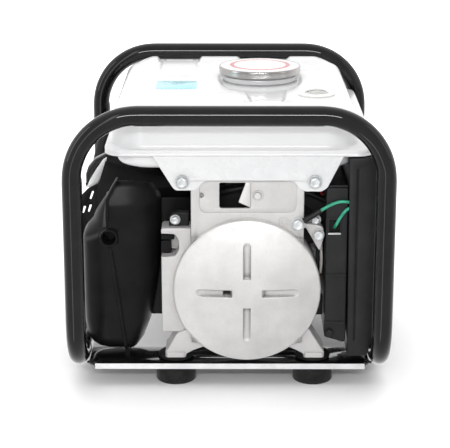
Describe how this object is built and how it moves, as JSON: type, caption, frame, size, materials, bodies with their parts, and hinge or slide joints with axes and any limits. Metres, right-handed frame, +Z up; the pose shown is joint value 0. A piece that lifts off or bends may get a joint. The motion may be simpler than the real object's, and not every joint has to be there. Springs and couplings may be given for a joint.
{
  "type": "portable generator",
  "caption": "Suitcase-size open-frame petrol generator: tube frame, flat tank, two-stroke engine with recoil starter, alternator and side control panel.",
  "frame": {"origin": "centre of the footprint, on the floor under the rubber feet", "axes": "+Z up; +Y along the crank axis towards the recoil starter end, the longest side; -Y is the alternator end; +X towards the control panel"},
  "size_m": [0.31, 0.365, 0.282],
  "materials": {
    "frame_black": "gloss",
    "mount_rubber": "matte, dusty",
    "zinc_steel": "zinc plated",
    "tank_white": "gloss white enamel",
    "cap_chrome": "satin plated",
    "black_plastic": "fine grain",
    "cast_alloy": "as cast",
    "shell_black": "satin black",
    "machined_steel": "machined",
    "copper_wire": "enamelled copper",
    "plug_white": "glazed",
    "starter_cord": "braided",
    "filter_foam": "open foam",
    "exhaust_black": "heat resistant satin",
    "clear_lens": "clear",
    "signal_red": "gloss",
    "earth_green": "green and yellow"
  },
  "bodies": {
    "chassis": {"near_hoop": "frame_black", "far_hoop": "frame_black", "side_rails": "frame_black", "cross_plates": "frame_black", "rubber_mounts": "mount_rubber", "mount_bolts": "zinc_steel", "tank_upper_shell": "tank_white", "tank_lower_shell": "tank_white", "tank_brackets": "tank_white", "bracket_bolts": "zinc_steel", "filler_neck": "zinc_steel", "fuel_gauge": "black_plastic", "end_bracket": "cast_alloy", "end_cover": "cast_alloy", "side_box": "cast_alloy", "stator_shell": "shell_black", "stator_core": "machined_steel", "stator_winding": "copper_wire", "bearings": "machined_steel", "crankcase": "cast_alloy", "barrel": "cast_alloy", "cylinder_head": "cast_alloy", "spark_plug": "plug_white", "plug_cap": "mount_rubber", "piston": "cast_alloy", "connecting_rod": "machined_steel", "fan_housing": "black_plastic", "rear_bracket": "frame_black", "recoil_cover": "black_plastic", "recoil_spring": "zinc_steel", "ignition_coil": "black_plastic", "carburettor": "cast_alloy", "air_case": "black_plastic", "air_filter": "filter_foam", "fuel_cock": "cast_alloy", "fuel_hose": "mount_rubber", "muffler_left": "exhaust_black", "muffler_right": "exhaust_black", "muffler_guard": "exhaust_black", "cooling_shroud": "shell_black", "control_box": "black_plastic", "control_box_rear": "black_plastic", "panel_fittings": "black_plastic", "meter_glass": "clear_lens", "earth_wire": "earth_green"},
    "crank_train": {"crankshaft": "machined_steel", "rotor": "machined_steel", "cooling_fan": "cast_alloy"},
    "cap_seal": {"cap_gasket": "mount_rubber"},
    "cap": {"fuel_cap": "cap_chrome"},
    "starter_pull": {"starter_grip": "black_plastic", "starter_rope": "starter_cord"},
    "reel": {"recoil_reel": "black_plastic"},
    "choke": {"choke_lever": "zinc_steel"},
    "cock": {"cock_lever": "black_plastic"},
    "filter_cover": {"air_cover": "black_plastic"},
    "needle": {"meter_needle": "signal_red"},
    "lid": {"outlet_lid": "black_plastic"},
    "rocker": {"switch_rocker": "black_plastic"},
    "button": {"breaker_button": "signal_red"}
  },
  "joints": [
    {"name": "crank_spin", "type": "hinge", "parent": "chassis", "child": "crank_train", "pos_m": [0.017, 0, 0.0985], "axis": [0, 1, 0], "continuous": true},
    {"name": "cap_lift", "type": "slide", "parent": "chassis", "child": "cap_seal", "axis": [0, 0, 1], "range_m": [0, 0.07]},
    {"name": "cap_turn", "type": "hinge", "parent": "cap_seal", "child": "cap", "pos_m": [0.032, 0.04, 0.2756], "axis": [0, 0, 1], "range_deg": [0, 90]},
    {"name": "grip_pull", "type": "slide", "parent": "chassis", "child": "starter_pull", "axis": [-0.9703, 0, 0.2419], "range_m": [0, 0.5], "stiffness_N_per_m": 12, "springref_m": -0.1},
    {"name": "reel_spin", "type": "hinge", "parent": "chassis", "child": "reel", "pos_m": [0.017, 0, 0.0985], "axis": [0, 1, 0], "range_deg": [-850, 0]},
    {"name": "choke_turn", "type": "hinge", "parent": "chassis", "child": "choke", "pos_m": [0.096, -0.0184, 0.0985], "axis": [0, 1, 0], "range_deg": [0, 45]},
    {"name": "cock_turn", "type": "hinge", "parent": "chassis", "child": "cock", "pos_m": [0.113, 0.044, 0.198], "axis": [1, 0, 0], "range_deg": [0, 90]},
    {"name": "cover_off", "type": "slide", "parent": "chassis", "child": "filter_cover", "axis": [1, 0, 0], "range_m": [0, 0.12]},
    {"name": "needle_swing", "type": "hinge", "parent": "chassis", "child": "needle", "pos_m": [0.141, -0.112, 0.187], "axis": [1, 0, 0], "range_deg": [-100, 0]},
    {"name": "lid_open", "type": "hinge", "parent": "chassis", "child": "lid", "pos_m": [0.148, -0.062, 0.2138], "axis": [0, 1, 0], "range_deg": [-110, 0], "stiffness_Nm_per_rad": 0.01, "springref_deg": 17.19},
    {"name": "rocker_tilt", "type": "hinge", "parent": "chassis", "child": "rocker", "pos_m": [0.1426, -0.112, 0.113], "axis": [0, 1, 0], "range_deg": [-16, 0]},
    {"name": "button_press", "type": "slide", "parent": "chassis", "child": "button", "axis": [-1, 0, 0], "range_m": [0, 0.002], "stiffness_N_per_m": 100, "springref_m": -0.004}
  ],
  "couplings": [
    {"joint": "reel_spin", "follows": "grip_pull", "rad_per_m": -29.412}
  ]
}
